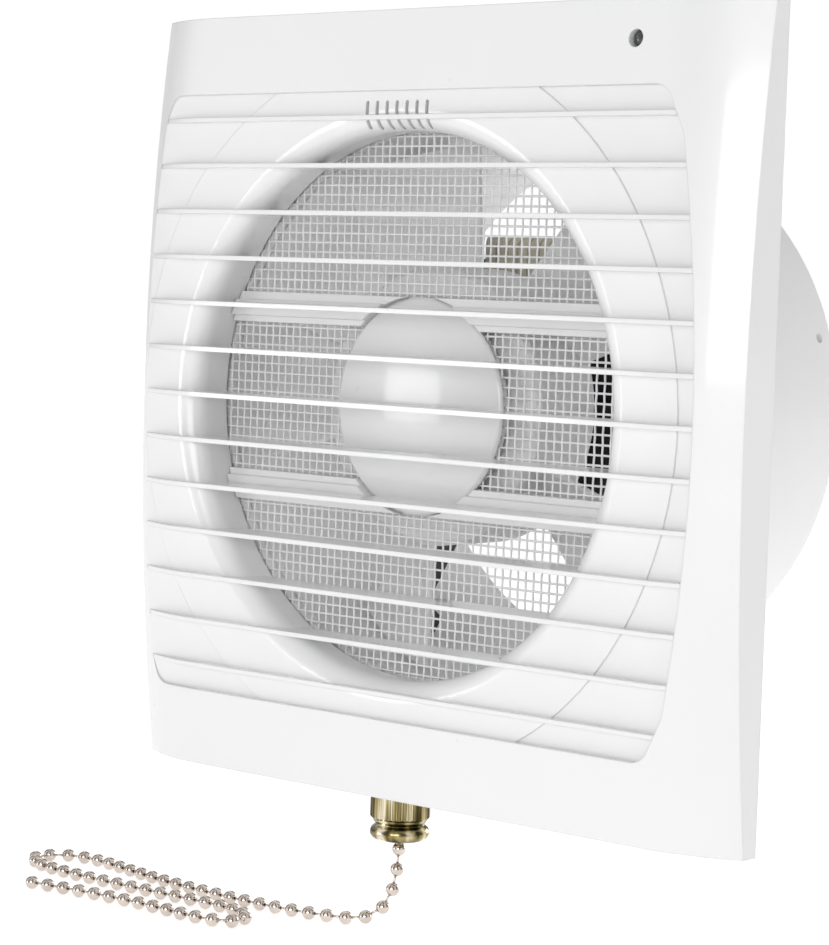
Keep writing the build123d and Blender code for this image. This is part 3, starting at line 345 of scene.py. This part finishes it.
def add_skin(faces, first, rings, sides):
    """Adds the faces that join rings of vertices, from vertex first on, and close both ends."""
    for i in range(rings - 1):
        ring = first + i * sides
        for k in range(sides):
            n = (k + 1) % sides
            faces.append((ring + k, ring + n, ring + sides + n, ring + sides + k))
    last = first + (rings - 1) * sides
    faces.append(tuple(first + k for k in reversed(range(sides))))
    faces.append(tuple(last + k for k in range(sides)))


# ---------------------------------------------------------------------------- the net
def cut_out(spans, gap):
    """What is left of the spans when the gap is taken out of them."""
    left = []
    for start, end in spans:
        if gap[1] <= start or gap[0] >= end:
            left.append((start, end))
            continue
        if gap[0] > start:
            left.append((start, gap[0]))
        if gap[1] < end:
            left.append((gap[1], end))
    return left


def woven_net():
    """The insect net: round threads over and under each other, cut by the bars and the hub."""
    # The threads end short of the screen's own edge and just inside the hub cap and the two
    # cross bars, which reach from bar_foot to bar_top above and below the middle.
    low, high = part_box("insect_screen")
    net_y = (low.y + high.y) / 2
    outer = (high.x - low.x) / 2 - 0.5 * MM
    cap_low, cap_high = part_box("hub_cap")
    hub = (cap_high.x - cap_low.x) / 2 - 0.3 * MM
    bar_foot = 17.4 * MM
    bar_top = 24.5 * MM
    tuck = 0.4 * MM
    pitch = 2.2 * MM
    thread_radius = 0.25 * MM
    weave = 0.09 * MM
    end_margin = 0.3 * pitch
    count = int(outer / pitch)
    places = [pitch * (i + 0.5) for i in range(-count - 1, count + 1)]
    verts = []
    faces = []

    def lay(spans, fixed, upright, phase):
        for start, end in spans:
            if end - start < pitch / 2:
                continue
            crossings = [p for p in places if start + end_margin < p < end - end_margin]
            points = []
            for s in [start, *crossings, end]:
                lift = weave * math.cos(math.pi * (s / pitch - 0.5)) * phase
                points.append((fixed, net_y + lift, s) if upright else (s, net_y + lift, fixed))
            add_tube(verts, faces, points, thread_radius, 6, Vector((0, 1, 0)))

    for i, place in enumerate(places):
        if abs(place) >= outer:
            continue
        reach = math.sqrt(outer**2 - place**2)
        phase = 1 if i % 2 else -1
        upright = [(-reach, reach)]
        upright = cut_out(upright, (bar_foot + tuck, bar_top - tuck))
        upright = cut_out(upright, (-bar_top + tuck, -bar_foot - tuck))
        level = [(-reach, reach)]
        if abs(place) < hub:
            chord = math.sqrt(hub**2 - place**2)
            upright = cut_out(upright, (-chord, chord))
            level = cut_out(level, (-chord, chord))
        lay(upright, place, True, phase)
        if not bar_foot < abs(place) < bar_top:
            lay(level, place, False, -phase)
    net = new_piece("woven_net", verts, faces, "net_thread")
    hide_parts("insect_screen")
    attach(net, "housing")


woven_net()


# ------------------------------------------------------------------- the return spring
def coiled_spring():
    """The pull switch's spring, the same coil as the CAD one, drawn at its full length; the real one
    shortens as the chain is pulled.
    """
    low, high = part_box("return_spring")
    wire = 0.22 * MM
    radius = 2.0 * MM
    coils = 3.5
    steps_per_coil = 28
    # The chain's full pull leaves 2.3 mm of the spring's 5.3 mm.
    x = low.x + radius + wire
    y = low.y + radius + wire
    foot = low.z + wire
    rise = high.z - wire - foot
    steps = int(coils * steps_per_coil)
    points = []
    verts = []
    faces = []
    for i in range(steps + 1):
        turn = 2 * math.pi * coils * i / steps
        points.append((x + radius * math.cos(turn), y + radius * math.sin(turn), foot + rise * i / steps))
    add_tube(verts, faces, points, wire, 8, Vector((0, 0, 1)))
    spring = new_piece("coiled_spring", verts, faces, "bright_steel")
    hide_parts("return_spring")
    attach(spring, "housing")
    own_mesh(spring)


coiled_spring()


# -------------------------------------------------------------------------- the chain
CHAIN_D = 3.2 * MM
BALL_PITCH = 4.715 * MM
ROD_RADIUS = 0.30 * MM
ROD_SIDES = 8
SIGHT = math.radians(41.5)
# How far each point of the slack lies to the left and away, in millimetres, as seen from a
# camera that looks along SIGHT; the route's first two points are above them, under the nut.
SLACK = [
    (5.5, 0), (17, 3.4), (31, 12.3), (45, 24.5), (57, 36.4), (67, 48.6), (75, 58.6), (84, 63.8),
    (91.3, 59.6), (88.6, 50.6), (79.5, 41.0), (66, 29.6), (52, 18.9), (38.2, 8.2), (33.2, -1.0),
    (37.6, -7.0), (46, -2.6), (55, 6.2), (67, 16.0), (78, 23.4), (90, 30.7),
]


def chain_route():
    """The route's points in metres: down from the plunger and along the surface below."""
    # The second point holds the line upright before it bends to the surface.
    upright_z = -110 * MM
    plunger_low, plunger_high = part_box("pull_plunger")
    x = (plunger_low.x + plunger_high.x) / 2
    y = (plunger_low.y + plunger_high.y) / 2
    chain_low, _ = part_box("pull_chain")
    z = chain_low.z + CHAIN_D / 2
    route = [Vector((x, y, plunger_low.z)), Vector((x, y, upright_z))]
    for left, away in SLACK:
        route.append(Vector((
            x + (-left * math.cos(SIGHT) - away * math.sin(SIGHT)) * MM,
            y + (-left * math.sin(SIGHT) + away * math.cos(SIGHT)) * MM,
            z,
        )))
    return route


def sampled_spline(route):
    """Close points along the smooth NURBS line that the route's points steer."""
    curve = bpy.data.curves.new("chain_line", "CURVE")
    curve.dimensions = "3D"
    curve.resolution_u = 24
    spline = curve.splines.new("NURBS")
    spline.points.add(len(route) - 1)
    for point, place in zip(spline.points, route):
        point.co = (*place, 1)
    spline.order_u = 3
    spline.use_endpoint_u = True
    holder = bpy.data.objects.new("chain_line", curve)
    mesh = bpy.data.meshes.new_from_object(holder)
    points = [v.co.copy() for v in mesh.vertices]
    bpy.data.objects.remove(holder)
    bpy.data.meshes.remove(mesh)
    return points


def add_rod(verts, faces, start, end):
    """Adds the thin rod that joins two balls, or the first ball and the plunger."""
    across = (end - start).orthogonal()
    add_tube(verts, faces, [start, (start + end) / 2, end], ROD_RADIUS, ROD_SIDES, across)


def add_ball(verts, faces, centre, ahead, turn):
    """Adds one hollow ball with its two dimpled ends, turned about the chain's line."""
    ahead = ahead.normalized()
    side = ahead.orthogonal().normalized()
    side.rotate(Matrix.Rotation(turn, 3, ahead))
    up = ahead.cross(side)
    radius = CHAIN_D / 2
    around = 20
    rows = 11
    mouth = math.radians(17)
    dimple = [(0.10 * radius, 0.84 * radius), (0.24 * radius, 0.90 * radius)]
    profile = [(r, -s) for r, s in dimple]
    for i in range(rows):
        angle = mouth + (math.pi - 2 * mouth) * i / (rows - 1)
        profile.append((radius * math.sin(angle), -radius * math.cos(angle)))
    profile += reversed(dimple)
    first = len(verts)
    for r, s in profile:
        for k in range(around):
            a = 2 * math.pi * k / around
            verts.append(centre + ahead * s + side * (r * math.cos(a)) + up * (r * math.sin(a)))
    add_skin(faces, first, len(profile), around)


def ball_chain():
    """The pull chain: hollow balls on short rods, all along the smooth line."""
    route = chain_route()
    line = sampled_spline(route)
    steps = [(b - a).length for a, b in zip(line, line[1:])]
    along = np.concatenate([[0], np.cumsum(steps)])
    xyz = np.array(line)

    def at(distance):
        return Vector([float(np.interp(distance, along, xyz[:, k])) for k in range(3)])

    # The first ball's centre is this far along the line, each ball is turned by this many
    # radians more than the last, and each rod starts this far from a ball's centre.
    first = 2.1 * MM
    turn_each = 2.4
    rod_start = 0.8 * CHAIN_D / 2
    count = int((along[-1] - first - CHAIN_D / 2) / BALL_PITCH) + 1
    places = [first + i * BALL_PITCH for i in range(count)]
    centres = [at(place) for place in places]
    verts = []
    faces = []
    add_rod(verts, faces, at(0), centres[0])
    for i, (place, centre) in enumerate(zip(places, centres)):
        add_ball(verts, faces, centre, at(place + MM) - at(place - MM), i * turn_each)
        if i + 1 < count:
            following = centres[i + 1]
            inset = (following - centre).normalized() * rod_start
            add_rod(verts, faces, centre + inset, following - inset)
    chain = new_piece("ball_chain", verts, faces, "nickel_chain")
    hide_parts("pull_chain")
    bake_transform(chain)


ball_chain()


# ---------------------------------------------------------------------- floor and light
def add_floor():
    """A plain pale floor at the height of the surface that the chain lies on."""
    chain_low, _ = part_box("pull_chain")
    gap = 0.05 * MM
    reach = 6.0
    z = chain_low.z - gap
    corners = [(-reach, -reach, z), (reach, -reach, z), (reach, reach, z), (-reach, reach, z)]
    mesh = bpy.data.meshes.new("floor")
    mesh.from_pydata(corners, [], [(0, 1, 2, 3)])
    paint = Paint(
        "floor_paint",
        Roughness=0.8,
        Specular_IOR_Level=0.1,
        Emission_Color=(1, 1, 1, 1),
        Emission_Strength=0.52,
    )
    grey = (0.90, 0.90, 0.90)
    pale = (0.92, 0.92, 0.92)
    paint.ramp(paint.noise(3, 2), "Fac", [(0.3, grey), (0.7, pale)], paint.shader, "Base Color")
    mesh.materials.append(MATERIALS["floor_paint"])
    floor = bpy.data.objects.new("floor", mesh)
    scene.collection.objects.link(floor)


def add_area_light(name, place, size, power):
    """A rectangular light that faces the fan."""
    light = bpy.data.lights.new(name, "AREA")
    light.shape = "RECTANGLE"
    light.size, light.size_y = size
    light.energy = power
    lamp = bpy.data.objects.new(name, light)
    lamp.location = place
    lamp.rotation_mode = "QUATERNION"
    lamp.rotation_quaternion = Vector(place).to_track_quat("Z", "Y")
    scene.collection.objects.link(lamp)


def add_world():
    """A white room, whose light comes in upright bands with dim ones between them."""
    bands_round_room = 5
    seen_white = 1.02
    world = bpy.data.worlds.new("studio")
    nodes = Nodes(world)
    place = nodes.add("ShaderNodeTexCoord")
    split = nodes.add("ShaderNodeSeparateXYZ")
    turn = nodes.add("ShaderNodeMath", operation="ARCTAN2")
    bands = nodes.add("ShaderNodeMath", operation="MULTIPLY")
    bands.inputs[1].default_value = bands_round_room
    wave = nodes.add("ShaderNodeMath", operation="SINE")
    span = nodes.add("ShaderNodeMapRange", From_Min=-0.7, From_Max=0.7, To_Min=0.25, To_Max=0.95)
    banded = nodes.add("ShaderNodeBackground", Color=(1, 1, 1, 1))
    white = nodes.add("ShaderNodeBackground", Color=(1, 1, 1, 1), Strength=seen_white)
    seen = nodes.add("ShaderNodeLightPath")
    mix = nodes.add("ShaderNodeMixShader")
    output = nodes.add("ShaderNodeOutputWorld")
    nodes.link(place, "Generated", split, "Vector")
    nodes.link(split, "X", turn, 0)
    nodes.link(split, "Y", turn, 1)
    nodes.link(turn, "Value", bands, 0)
    nodes.link(bands, "Value", wave, 0)
    nodes.link(wave, "Value", span, "Value")
    nodes.link(span, "Result", banded, "Strength")
    nodes.link(seen, "Is Camera Ray", mix, "Fac")
    nodes.link(banded, "Background", mix, 1)
    nodes.link(white, "Background", mix, 2)
    nodes.link(mix, "Shader", output, "Surface")
    scene.world = world


def add_lights():
    """A broad light in front, a small one that the hub cap reflects, and one behind."""
    add_area_light("key", (0.5, -1.15, 0.2), (0.7, 0.4), 3.5)
    add_area_light("window", (-0.67, -0.76, -0.01), (0.22, 0.13), 0.5)
    add_area_light("behind", (0, 0.7, 0), (0.3, 0.3), 1.2)


add_floor()
add_world()
add_lights()
